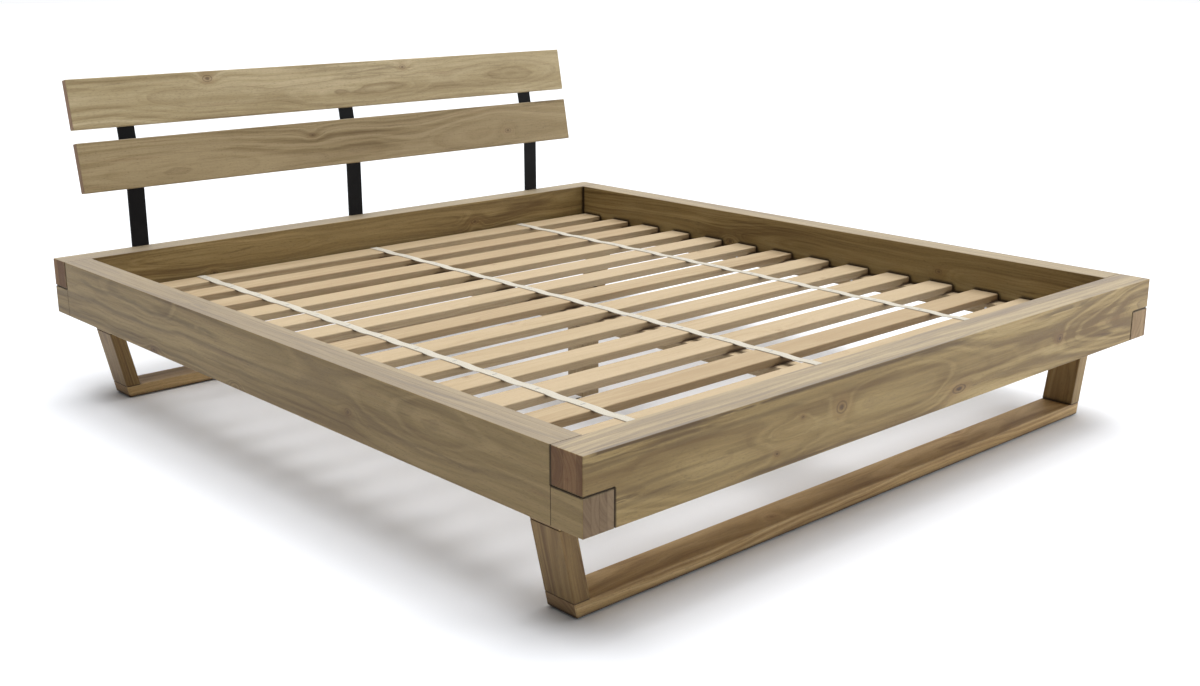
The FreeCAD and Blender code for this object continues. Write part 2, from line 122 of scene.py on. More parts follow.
class Graph:
    """Short ways of adding nodes to one node tree. A socket argument takes a socket or a constant."""

    def __init__(self, tree):
        self.tree = tree

    def plug(self, socket, value):
        if isinstance(value, bpy.types.NodeSocket):
            self.tree.links.new(value, socket)
        elif value is not None:
            socket.default_value = value

    def node(self, kind, inputs=None, **settings):
        made = self.tree.nodes.new(kind)
        for name, value in settings.items():
            setattr(made, name, value)
        for name, value in (inputs or {}).items():
            self.plug(made.inputs[name], value)
        return made

    def math(self, operation, a, b=None, c=None, clamp=False):
        made = self.node("ShaderNodeMath", operation=operation, use_clamp=clamp)
        for socket, value in zip(made.inputs, (a, b, c)):
            self.plug(socket, value)
        return made.outputs[0]

    def vector(self, operation, a, b=None, scale=None):
        made = self.node("ShaderNodeVectorMath", operation=operation)
        self.plug(made.inputs[0], a)
        self.plug(made.inputs[1], b)
        if scale is not None:
            self.plug(made.inputs["Scale"], scale)
        return made.outputs["Value" if operation in ("DOT_PRODUCT", "LENGTH", "DISTANCE") else 0]

    def combine(self, x=0.0, y=0.0, z=0.0):
        return self.node("ShaderNodeCombineXYZ", {"X": x, "Y": y, "Z": z}).outputs[0]

    def separate(self, vector):
        made = self.node("ShaderNodeSeparateXYZ", {"Vector": vector})
        return made.outputs[0], made.outputs[1], made.outputs[2]

    def noise(self, vector, scale=1.0, detail=2.0, roughness=0.5, distortion=0.0, output="Fac"):
        made = self.node(
            "ShaderNodeTexNoise",
            {
                "Vector": vector,
                "Scale": scale,
                "Detail": detail,
                "Roughness": roughness,
                "Distortion": distortion,
            },
        )
        return made.outputs[output]

    def noise_along_line(self, place, detail=2.0):
        made = self.node("ShaderNodeTexNoise", noise_dimensions="1D")
        self.plug(made.inputs["W"], place)
        self.plug(made.inputs["Scale"], 1.0)
        self.plug(made.inputs["Detail"], detail)
        return made.outputs["Fac"]

    def remap(self, value, low, high, to_low=0.0, to_high=1.0, smooth=True):
        made = self.node("ShaderNodeMapRange", interpolation_type="SMOOTHSTEP" if smooth else "LINEAR")
        sockets = ("Value", "From Min", "From Max", "To Min", "To Max")
        for name, given in zip(sockets, (value, low, high, to_low, to_high)):
            self.plug(made.inputs[name], given)
        return made.outputs["Result"]

    def mix(self, share, a, b, blend="MIX"):
        made = self.node("ShaderNodeMix", data_type="RGBA", blend_type=blend)
        colours = [s for s in made.inputs if s.type == "RGBA"]
        self.plug(made.inputs[0], share)
        self.plug(colours[0], a)
        self.plug(colours[1], b)
        return [s for s in made.outputs if s.type == "RGBA"][0]

    def ramp(self, value, stops):
        """Colours or greys at places from 0 to 1: stops is a list of (place, colour)."""
        made = self.node("ShaderNodeValToRGB", {"Fac": value})
        elements = made.color_ramp.elements
        while len(elements) < len(stops):
            elements.new(0.5)
        for element, (place, colour) in zip(elements, stops):
            element.position = place
            element.color = colour
        return made.outputs["Color"]


def node_group(name, inputs, outputs):
    """A shader node group with named sockets. Returns it, its Graph, its inputs and its output node."""
    tree = bpy.data.node_groups.new(name, "ShaderNodeTree")
    kinds = {"value": "NodeSocketFloat", "vector": "NodeSocketVector"}
    for label, kind, default in inputs:
        socket = tree.interface.new_socket(label, in_out="INPUT", socket_type=kinds[kind])
        socket.default_value = default
    for label, kind in outputs:
        tree.interface.new_socket(label, in_out="OUTPUT", socket_type=kinds[kind])
    graph = Graph(tree)
    given = graph.node("NodeGroupInput").outputs
    result = graph.node("NodeGroupOutput")
    return tree, graph, given, result


def use(graph, tree, inputs):
    made = graph.node("ShaderNodeGroup", node_tree=tree)
    for name, value in inputs.items():
        graph.plug(made.inputs[name], value)
    return made.outputs


# ---------------------------------------------------------------- shared effects


def grain_frame_group():
    """Turns a place on the object into (along the grain, through the board, across the board)."""
    tree, g, given, result = node_group(
        "Grain frame",
        [("Along", "vector", ALONG_X), ("Through", "vector", ALONG_Y), ("Centre", "vector", (0, 0, 0))],
        [("Position", "vector"), ("End grain", "value"), ("Facing up", "value")],
    )
    place = g.node("ShaderNodeTexCoord")
    from_centre = g.vector("SUBTRACT", place.outputs["Object"], given["Centre"])
    across = g.vector("CROSS_PRODUCT", given["Along"], given["Through"])
    position = g.combine(
        g.vector("DOT_PRODUCT", from_centre, given["Along"]),
        g.vector("DOT_PRODUCT", from_centre, given["Through"]),
        g.vector("DOT_PRODUCT", from_centre, across),
    )
    facing = g.math("ABSOLUTE", g.vector("DOT_PRODUCT", place.outputs["Normal"], given["Along"]))
    g.plug(result.inputs["Position"], position)
    g.plug(result.inputs["End grain"], g.remap(facing, 0.75, 0.93))
    _, _, upwards = g.separate(place.outputs["Normal"])
    g.plug(result.inputs["Facing up"], g.remap(upwards, 0.55, 0.95))
    return tree


def glued_boards_group():
    """Splits a beam into glued boards of uneven thickness. Each board gets its own log."""
    tree, g, given, result = node_group(
        "Glued boards",
        [
            ("Position", "vector", (0, 0, 0)),
            ("Thickness", "value", 0.03),
            ("Shift", "value", 0.0),
            ("Glue width", "value", 0.0012),
        ],
        [("Position", "vector"), ("Board", "value"), ("Glue line", "value")],
    )
    along, through, across = g.separate(given["Position"])
    place = g.math("DIVIDE", g.math("ADD", through, given["Shift"]), given["Thickness"])
    cell = g.node("ShaderNodeTexVoronoi", voronoi_dimensions="1D", feature="F1")
    edge = g.node("ShaderNodeTexVoronoi", voronoi_dimensions="1D", feature="DISTANCE_TO_EDGE")
    for voronoi in (cell, edge):
        g.plug(voronoi.inputs["W"], place)
        g.plug(voronoi.inputs["Scale"], 1.0)
        g.plug(voronoi.inputs["Randomness"], 0.75)
    random_a, random_b, random_c = g.separate(cell.outputs["Color"])
    moved = g.combine(
        g.math("MULTIPLY_ADD", random_a, 7.0, along),
        g.math("MULTIPLY_ADD", random_b, 0.06, through),
        g.math("MULTIPLY_ADD", g.math("SUBTRACT", random_c, 0.5), 0.09, across),
    )
    half_glue = g.math("DIVIDE", given["Glue width"], given["Thickness"])
    g.plug(result.inputs["Position"], moved)
    g.plug(result.inputs["Board"], random_a)
    g.plug(result.inputs["Glue line"], g.remap(edge.outputs["Distance"], half_glue, 0.0))
    return tree


def knot_group():
    """One knot: the rings swell round it and its heart is dark."""
    tree, g, given, result = node_group(
        "Knot",
        [
            ("Position", "vector", (0, 0, 0)),
            ("Knot", "vector", (0, 0, 0)),
            ("Radius", "value", 0.008),
            ("Stretch", "value", 1.6),
            ("Swell", "value", 0.02),
            ("Darkness", "value", 0.7),
            ("Reach", "value", 0.045),
            ("Swell so far", "value", 0.0),
            ("Heart so far", "value", 0.0),
            ("Halo so far", "value", 0.0),
        ],
        [("Swell", "value"), ("Heart", "value"), ("Halo", "value")],
    )
    wobble = g.noise(given["Position"], scale=45.0, detail=2.0, output="Color")
    wobble = g.vector("SCALE", g.vector("SUBTRACT", wobble, MIDDLE_GREY), scale=0.006)
    away = g.vector("ADD", g.vector("SUBTRACT", given["Position"], given["Knot"]), wobble)
    along, _, across = g.separate(away)
    flat = g.combine(g.math("DIVIDE", along, given["Stretch"]), 0.0, across)
    distance = g.vector("LENGTH", flat)
    ratio = g.math("DIVIDE", distance, given["Reach"])
    bell = g.math("EXPONENT", g.math("MULTIPLY", g.math("MULTIPLY", ratio, ratio), -1.0))
    swell = g.math("MULTIPLY_ADD", bell, given["Swell"], given["Swell so far"])
    inner = g.math("MULTIPLY", given["Radius"], 0.25)
    core = g.remap(distance, g.math("MULTIPLY", given["Radius"], 0.75), inner)
    from_ring = g.math("ABSOLUTE", g.math("SUBTRACT", distance, given["Radius"]))
    ring = g.remap(from_ring, g.math("MULTIPLY", given["Radius"], 0.22), 0.0, 0.0, 0.75)
    heart = g.math("MULTIPLY", g.math("MAXIMUM", core, ring), given["Darkness"])
    halo_reach = g.math("MULTIPLY", given["Radius"], 3.2)
    halo = g.math("MULTIPLY", g.remap(distance, halo_reach, inner), given["Darkness"])
    g.plug(result.inputs["Swell"], swell)
    g.plug(result.inputs["Heart"], g.math("MAXIMUM", heart, given["Heart so far"]))
    g.plug(result.inputs["Halo"], g.math("MAXIMUM", halo, given["Halo so far"]))
    return tree


def growth_rings_group():
    """Growth rings of a log whose pith wanders behind the board, so flat faces show arches."""
    tree, g, given, result = node_group(
        "Growth rings",
        [
            ("Position", "vector", (0, 0, 0)),
            ("Ring width", "value", 0.006),
            ("Pith depth", "value", 0.05),
            ("Pith wander", "value", 0.10),
            ("Swell", "value", 0.0),
        ],
        [("Bands", "value"), ("Late wood", "value"), ("Tone", "value")],
    )
    place = given["Position"]
    wave_depth = 0.013
    ripple_depth = 0.0020
    slow = g.noise(g.vector("MULTIPLY", place, (1.1, 0.6, 0.6)), detail=1.0, output="Color")
    drift_x, drift_y, _ = g.separate(g.vector("SUBTRACT", slow, MIDDLE_GREY))
    wave = g.math("SUBTRACT", g.noise(g.vector("MULTIPLY", place, (4.5, 10.0, 10.0)), detail=2.0), 0.5)
    ripple = g.math("SUBTRACT", g.noise(g.vector("MULTIPLY", place, (9.0, 40.0, 40.0)), detail=2.0), 0.5)
    _, through, across = g.separate(place)
    depth = g.math("MULTIPLY_ADD", drift_x, given["Pith wander"], through)
    depth = g.math("ADD", depth, given["Pith depth"])
    side = g.math("MULTIPLY_ADD", drift_y, given["Pith wander"], across)
    radius = g.vector("LENGTH", g.combine(0.0, depth, side))
    radius = g.math("MULTIPLY_ADD", wave, wave_depth, radius)
    radius = g.math("MULTIPLY_ADD", ripple, ripple_depth, radius)
    radius = g.math("ADD", radius, given["Swell"])
    turn = g.math("DIVIDE", radius, given["Ring width"])
    bands = g.noise_along_line(g.math("MULTIPLY", turn, 0.8), detail=4.0)
    uneven = g.noise_along_line(g.math("MULTIPLY_ADD", turn, 0.31, 17.0), detail=1.0)
    saw = g.math("FRACT", g.math("MULTIPLY_ADD", uneven, 2.2, g.math("MULTIPLY", turn, 0.7)))
    line = g.math("MULTIPLY", g.math("POWER", saw, 2.8), g.remap(saw, 1.0, 0.93))
    strength = g.noise_along_line(g.math("MULTIPLY_ADD", turn, 0.23, 5.0), detail=2.0)
    strength = g.remap(strength, 0.38, 0.66)
    tone_place = g.vector("MULTIPLY", place, (1.4, 9.0, 12.0))
    tone = g.noise(tone_place, detail=3.0, roughness=0.55, distortion=0.5)
    g.plug(result.inputs["Bands"], bands)
    g.plug(result.inputs["Late wood"], g.math("MULTIPLY", line, strength))
    g.plug(result.inputs["Tone"], tone)
    return tree


def vein_group():
    """One dark vein along the grain, which wavers, breaks up and lies just under the outer face."""
    tree, g, given, result = node_group(
        "Dark vein",
        [
            ("Position", "vector", (0, 0, 0)),
            ("Across", "value", 0.0),
            ("From", "value", -1.0),
            ("To", "value", 1.0),
            ("Width", "value", 0.003),
            ("Waver", "value", 0.014),
            ("Darkness", "value", 0.5),
            ("Skin", "value", 0.030),
            ("Veins so far", "value", 0.0),
        ],
        [("Veins", "value")],
    )
    along, through, across = g.separate(given["Position"])
    own_start = g.math("MULTIPLY", given["Across"], 90.0)
    waver = g.noise_along_line(g.math("MULTIPLY_ADD", along, 5.0, own_start), detail=3.0)
    centre = g.math("MULTIPLY_ADD", g.math("SUBTRACT", waver, 0.5), given["Waver"], given["Across"])
    ragged = g.noise(g.vector("MULTIPLY", given["Position"], (7.0, 60.0, 120.0)), detail=4.0)
    width = g.math("MULTIPLY", g.remap(ragged, 0.28, 0.62), given["Width"])
    away = g.math("ABSOLUTE", g.math("SUBTRACT", across, centre))
    line = g.remap(away, width, 0.0)
    fade = 0.12
    skin_edge = 0.007
    begun = g.remap(along, given["From"], g.math("ADD", given["From"], fade))
    ended = g.remap(along, given["To"], g.math("SUBTRACT", given["To"], fade))
    broken = g.noise_along_line(g.math("MULTIPLY_ADD", along, 9.0, own_start), detail=2.0)
    broken = g.remap(broken, 0.24, 0.38)
    line = g.math("MULTIPLY", g.math("MULTIPLY", line, broken), g.math("MULTIPLY", begun, ended))
    near_face = g.remap(through, given["Skin"], g.math("ADD", given["Skin"], skin_edge))
    line = g.math("MULTIPLY", g.math("MULTIPLY", line, near_face), given["Darkness"])
    g.plug(result.inputs["Veins"], g.math("MAXIMUM", line, given["Veins so far"]))
    return tree


def fibre_group():
    """Fine fibres, open pores and long mineral streaks, drawn out along the grain."""
    tree, g, given, result = node_group(
        "Fibres and pores",
        [("Position", "vector", (0, 0, 0)), ("Late wood", "value", 0.0)],
        [("Fibres", "value"), ("Streaks", "value"), ("Mineral", "value"), ("Pores", "value")],
    )
    place = given["Position"]
    fibres = g.noise(g.vector("MULTIPLY", place, (14.0, 520.0, 520.0)), detail=4.0, roughness=0.65)
    streak_place = g.vector("MULTIPLY", place, (3.0, 85.0, 85.0))
    streaks = g.noise(streak_place, detail=4.0, roughness=0.62, distortion=0.35)
    mineral_place = g.vector("MULTIPLY", place, (2.6, 46.0, 46.0))
    mineral = g.noise(mineral_place, detail=5.0, roughness=0.68, distortion=0.8)
    patches = g.noise(g.vector("MULTIPLY", place, (1.7, 8.0, 14.0)), detail=2.0)
    mineral = g.math("MULTIPLY", g.remap(mineral, 0.56, 0.68), g.remap(patches, 0.52, 0.68))
    pore_noise = g.noise(g.vector("MULTIPLY", place, (95.0, 1300.0, 1300.0)), detail=1.0)
    threshold = g.math("MULTIPLY_ADD", given["Late wood"], -0.05, 0.62)
    pores = g.remap(pore_noise, threshold, g.math("ADD", threshold, 0.06))
    g.plug(result.inputs["Fibres"], fibres)
    g.plug(result.inputs["Streaks"], streaks)
    g.plug(result.inputs["Mineral"], mineral)
    g.plug(result.inputs["Pores"], pores)
    return tree


def crevice_shade_group():
    """Painted shade where two pieces meet: the colour darkens by how hidden a place is."""
    tree, g, given, result = node_group("Crevice painted shade", [("Reach", "value", 0.006)], [("Mask", "value")])
    nearby = g.node("ShaderNodeAmbientOcclusion", {"Distance": given["Reach"]}, samples=8)
    g.plug(result.inputs["Mask"], g.remap(nearby.outputs["AO"], 0.98, 0.70))
    return tree


def edge_wear_group():
    """Where an edge is near: the rounded normal leaves the true one."""
    tree, g, given, result = node_group(
        "Edge wear",
        [("Reach", "value", 0.004), ("Patchiness", "value", 0.5)],
        [("Mask", "value")],
    )
    rounded = g.node("ShaderNodeBevel", {"Radius": given["Reach"]}, samples=4)
    true_normal = g.node("ShaderNodeNewGeometry").outputs["Normal"]
    turned = g.math("SUBTRACT", 1.0, g.vector("DOT_PRODUCT", rounded.outputs[0], true_normal))
    place = g.node("ShaderNodeTexCoord").outputs["Object"]
    patches = g.remap(g.noise(place, scale=18.0, detail=4.0), 0.38, 0.62)
    patches = g.math("SUBTRACT", 1.0, g.math("MULTIPLY", patches, given["Patchiness"]))
    g.plug(result.inputs["Mask"], g.math("MULTIPLY", g.remap(turned, 0.02, 0.2), patches, clamp=True))
    return tree


def weave_group():
    """A flat woven tape: slanting warp ribs across its width and fine weft lines along it."""
    tree, g, given, result = node_group(
        "Tape weave",
        [("Rib spacing", "value", 0.0022), ("Slant", "value", 1.0)],
        [("Height", "value"), ("Thread", "value")],
    )
    across, along, _ = g.separate(g.node("ShaderNodeTexCoord").outputs["Object"])
    folded = g.math("PINGPONG", across, WARP_FOLD)
    turn = 2 * math.pi
    ribs = g.math("DIVIDE", g.math("MULTIPLY_ADD", folded, given["Slant"], along), given["Rib spacing"])
    ribs = g.math("SINE", g.math("MULTIPLY", ribs, turn))
    ribs = g.math("MULTIPLY_ADD", ribs, 0.5, 0.5)
    threads = g.math("SINE", g.math("MULTIPLY", across, turn / WEFT_SPACING))
    threads = g.math("MULTIPLY_ADD", threads, 0.5, 0.5)
    height = g.math("MULTIPLY_ADD", threads, 0.35, g.math("MULTIPLY", ribs, 0.65))
    g.plug(result.inputs["Height"], height)
    fuzz_place = g.combine(g.math("MULTIPLY", across, 900.0), g.math("MULTIPLY", along, 260.0), 0.0)
    g.plug(result.inputs["Thread"], g.noise(fuzz_place, detail=3.0))
    return tree


GRAIN_FRAME = grain_frame_group()
GLUED_BOARDS = glued_boards_group()
KNOT = knot_group()
GROWTH_RINGS = growth_rings_group()
VEIN = vein_group()
FIBRES = fibre_group()
CREVICE_SHADE = crevice_shade_group()
EDGE_WEAR = edge_wear_group()
WEAVE = weave_group()


# ---------------------------------------------------------------- materials


def new_material(name):
    material = bpy.data.materials.new(name)
    material.use_nodes = True
    graph = Graph(material.node_tree)
    return material, graph, material.node_tree.nodes["Principled BSDF"]


def rgb(red, green, blue):
    return (red, green, blue, 1.0)


def tinted(palette, red, green, blue):
    """The same timber in a darker or lighter copy, as painted shade or painted light; the painted top
    sheen stays as it is.
    """
    shades = {part: rgb(c[0] * red, c[1] * green, c[2] * blue) for part, c in palette.items()}
    shades["painted top sheen"] = palette["painted top sheen"]
    return shades


HARDWOOD = {
    "pale": rgb(0.382, 0.280, 0.124),
    "middle": rgb(0.268, 0.187, 0.073),
    "dark": rgb(0.148, 0.090, 0.030),
    "red": rgb(0.198, 0.103, 0.034),
    "mineral": rgb(0.070, 0.038, 0.014),
    "end": rgb(0.100, 0.043, 0.017),
    "end pale": rgb(0.192, 0.100, 0.044),
    "knot": rgb(0.053, 0.028, 0.014),
    "crevice": rgb(0.026, 0.013, 0.006),
    "painted top sheen": rgb(0.430, 0.420, 0.410),
}
SLEDGE_WOOD = {
    "pale": rgb(0.46, 0.335, 0.175),
    "middle": rgb(0.355, 0.240, 0.110),
    "dark": rgb(0.190, 0.108, 0.048),
    "red": rgb(0.250, 0.112, 0.046),
    "mineral": rgb(0.080, 0.036, 0.017),
    "end": rgb(0.090, 0.050, 0.023),
    "end pale": rgb(0.165, 0.103, 0.054),
    "knot": rgb(0.070, 0.036, 0.018),
    "crevice": rgb(0.026, 0.013, 0.006),
    "painted top sheen": rgb(0.42, 0.32, 0.20),
}
SOFTWOOD = {
    "pale": rgb(0.46, 0.355, 0.225),
    "middle": rgb(0.41, 0.310, 0.185),
    "dark": rgb(0.32, 0.222, 0.120),
    "red": rgb(0.36, 0.245, 0.135),
    "mineral": rgb(0.30, 0.200, 0.110),
    "end": rgb(0.28, 0.190, 0.110),
    "end pale": rgb(0.36, 0.255, 0.155),
    "knot": rgb(0.15, 0.080, 0.040),
    "crevice": rgb(0.09, 0.055, 0.030),
    "painted top sheen": rgb(0.46, 0.37, 0.25),
}


def knot(along, across, radius, swell, darkness, stretch=1.6):
    """A knot at a place on the board. The rings give way to it well past its own edge."""
    reach = 0.012 + radius * 1.6
    where = {"Knot": (along, 0.0, across), "Radius": radius, "Reach": reach, "Stretch": stretch}
    return {**where, "Swell": swell, "Darkness": darkness}


def vein(across, start, end, width, waver, darkness):
    """A dark vein in the outer face, from one place along the board to another."""
    where = {"Across": across, "From": start, "To": end}
    return {**where, "Width": width, "Waver": waver, "Darkness": darkness}


def timber(
    name,
    palette,
    along,
    through,
    centre,
    board_thickness,
    board_shift,
    ring_width=0.006,
    pith_depth=0.05,
    knots=(),
    veins=(),
    board_contrast=0.18,
    figure=1.0,
    end_share=0.88,
    roughness=0.50,
):
    """Oiled timber whose grain runs along one direction, glued up from boards that face through it."""
    material, g, shader = new_material(name)
    at = use(g, GRAIN_FRAME, {"Along": along, "Through": through, "Centre": centre})
    board = use(
        g,
        GLUED_BOARDS,
        {"Position": at["Position"], "Thickness": board_thickness, "Shift": board_shift},
    )
    swell, heart, halo = 0.0, 0.0, 0.0
    for one in knots:
        so_far = {"Swell so far": swell, "Heart so far": heart, "Halo so far": halo}
        made = use(g, KNOT, {"Position": at["Position"], **one, **so_far})
        swell, heart, halo = made["Swell"], made["Heart"], made["Halo"]
    dark_veins_and_edge_shade = 0.0
    for one in veins:
        made = use(g, VEIN, {"Position": at["Position"], **one, "Veins so far": dark_veins_and_edge_shade})
        dark_veins_and_edge_shade = made["Veins"]
    rings = use(
        g,
        GROWTH_RINGS,
        {
            "Position": board["Position"],
            "Ring width": ring_width,
            "Pith depth": pith_depth,
            "Swell": swell,
        },
    )
    fine = use(g, FIBRES, {"Position": board["Position"], "Late wood": rings["Late wood"]})

    calm_places = g.noise(g.vector("MULTIPLY", board["Position"], (0.9, 3.0, 4.0)), detail=1.0)
    lively = g.remap(calm_places, 0.36, 0.62, 0.45 * figure, 1.15 * figure)
    tone = g.math("MULTIPLY_ADD", g.math("SUBTRACT", board["Board"], 0.5), board_contrast, 0.5)
    for part, share in (
        (rings["Bands"], BAND_SHARE),
        (rings["Tone"], CLOUD_SHARE),
        (fine["Streaks"], STREAK_SHARE),
    ):
        deviation = g.math("MULTIPLY", g.math("SUBTRACT", part, 0.5), lively)
        tone = g.math("MULTIPLY_ADD", deviation, share, tone)
    base = g.ramp(tone, [(place, palette[shade]) for shade, place in TONE_OF_SHADE.items()])
    late_share = g.math("MULTIPLY", lively, LATE_WOOD_SHARE)
    late_share = g.math("MULTIPLY", rings["Late wood"], late_share, clamp=True)
    base = g.mix(late_share, base, palette["dark"])
    red_share = g.math("MULTIPLY", g.remap(fine["Streaks"], 0.56, 0.76), RED_SHARE * figure)
    base = g.mix(red_share, base, palette["red"])
    base = g.mix(g.math("MULTIPLY", fine["Mineral"], MINERAL_SHARE * figure), base, palette["mineral"])
    fibre_grey = g.remap(fine["Fibres"], 0.25, 0.75, 0.86, 1.12, smooth=False)
    fibre_grey = g.combine(fibre_grey, fibre_grey, fibre_grey)
    base = g.mix(1.0, base, fibre_grey, blend="MULTIPLY")
    base = g.mix(g.math("MULTIPLY", fine["Pores"], PORE_SHARE), base, palette["mineral"])
    # On the foot rail, two of these dark lines are painted shade just under the top edge.
    if veins:
        base = g.mix(dark_veins_and_edge_shade, base, palette["mineral"])
    if knots:
        base = g.mix(g.math("MULTIPLY", halo, KNOT_HALO_SHARE), base, palette["red"])
        base = g.mix(heart, base, palette["knot"])
    end_tone = g.math("MULTIPLY_ADD", g.math("SUBTRACT", rings["Bands"], 0.5), 1.0, board["Board"])
    end_tone = g.math("MULTIPLY_ADD", rings["Late wood"], -0.5, end_tone)
    end_grain = g.mix(g.remap(end_tone, 0.0, 1.0), palette["end"], palette["end pale"])
    end_grain = g.mix(1.0, end_grain, fibre_grey, blend="MULTIPLY")
    # Painted sheen: faces that look up are paler.
    base = g.mix(g.math("MULTIPLY", at["Facing up"], TOP_SHEEN_SHARE), base, palette["painted top sheen"])
    base = g.mix(g.math("MULTIPLY", at["End grain"], end_share), base, end_grain)
    base = g.mix(g.math("MULTIPLY", board["Glue line"], GLUE_SHARE), base, palette["mineral"])
    wear = use(g, EDGE_WEAR, {"Reach": WEAR_REACH, "Patchiness": 0.8})
    base = g.mix(g.math("MULTIPLY", wear["Mask"], WEAR_SHARE), base, palette["mineral"])
    # Painted shade: darker where two pieces meet and in hollows.
    crevice = use(g, CREVICE_SHADE, {"Reach": CREVICE_SHADE_REACH})
    base = g.mix(g.math("MULTIPLY", crevice["Mask"], CREVICE_SHADE_SHARE), base, palette["crevice"])

    height = 0.0
    for part, lift in (
        (fine["Fibres"], 0.25),
        (fine["Pores"], -0.8),
        (rings["Late wood"], 0.30),
        (board["Glue line"], -0.5),
        (heart, -0.5),
    ):
        height = g.math("MULTIPLY_ADD", part, lift, height)
    bump = g.node("ShaderNodeBump", {"Height": height, "Strength": 0.35, "Distance": TIMBER_RELIEF})
    rough = roughness - 0.08
    for part, change in ((fine["Fibres"], 0.16), (at["End grain"], 0.14), (rings["Late wood"], -0.06)):
        rough = g.math("MULTIPLY_ADD", part, change, rough)
    g.plug(shader.inputs["Base Color"], base)
    g.plug(shader.inputs["Roughness"], rough)
    g.plug(shader.inputs["Normal"], bump.outputs[0])
    shader.inputs["Specular IOR Level"].default_value = TIMBER_SPECULAR
    return material


def tape(name, colour, shaded):
    """Woven tape in undyed thread."""
    material, g, shader = new_material(name)
    weave = use(g, WEAVE, {})
    # Painted shade: the weave's low places take the darker shaded colour.
    tint = g.mix(g.remap(weave["Height"], 0.1, 0.8), shaded, colour)
    grey = g.remap(weave["Thread"], 0.3, 0.7, 0.88, 1.08, smooth=False)
    tint = g.mix(1.0, tint, g.combine(grey, grey, grey), blend="MULTIPLY")
    # Painted shade: the tape is darker where it meets the slats.
    crevice = use(g, CREVICE_SHADE, {"Reach": TAPE_CREVICE_SHADE_REACH})
    tint = g.mix(g.math("MULTIPLY", crevice["Mask"], 0.4), tint, shaded)
    bump = g.node("ShaderNodeBump", {"Height": weave["Height"], "Strength": 0.6, "Distance": TAPE_RELIEF})
    g.plug(shader.inputs["Base Color"], tint)
    g.plug(shader.inputs["Roughness"], g.math("MULTIPLY_ADD", weave["Thread"], 0.2, 0.72))
    g.plug(shader.inputs["Normal"], bump.outputs[0])
    shader.inputs["Sheen Weight"].default_value = 0.3
    return material


def hard_skin(name, colour, metallic, roughness, speckle, speckle_scale=900.0, specular=0.5):
    """Coated or plated steel, or moulded plastic: finely speckled and worn brighter at its edges."""
    material, g, shader = new_material(name)
    place = g.node("ShaderNodeTexCoord").outputs["Object"]
    grains = g.noise(place, scale=speckle_scale, detail=2.0)
    clouds = g.noise(place, scale=14.0, detail=4.0)
    wear = use(g, EDGE_WEAR, {"Reach": STEEL_WEAR_REACH, "Patchiness": 0.9})
    lighter = tuple(min(1.0, c * 2.2 + 0.02) for c in colour[:3]) + (1.0,)
    tint = g.mix(g.math("MULTIPLY", g.remap(clouds, 0.35, 0.7), 0.25), colour, lighter)
    tint = g.mix(g.math("MULTIPLY", wear["Mask"], 0.35), tint, lighter)
    rough = g.math("MULTIPLY_ADD", clouds, 0.16, roughness - 0.08)
    bump = g.node("ShaderNodeBump", {"Height": grains, "Strength": speckle, "Distance": STEEL_RELIEF})
    g.plug(shader.inputs["Base Color"], tint)
    g.plug(shader.inputs["Roughness"], rough)
    g.plug(shader.inputs["Normal"], bump.outputs[0])
    shader.inputs["Metallic"].default_value = metallic
    shader.inputs["Specular IOR Level"].default_value = specular
    return material


def set_material(node, material):
    """Gives a CAD node one material in place of what it has."""
    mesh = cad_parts[node].data
    mesh.materials.clear()
    mesh.materials.append(material)


def middle(node):
    """The middle of a CAD node's box."""
    low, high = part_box(node)
    return tuple((low + high) / 2)


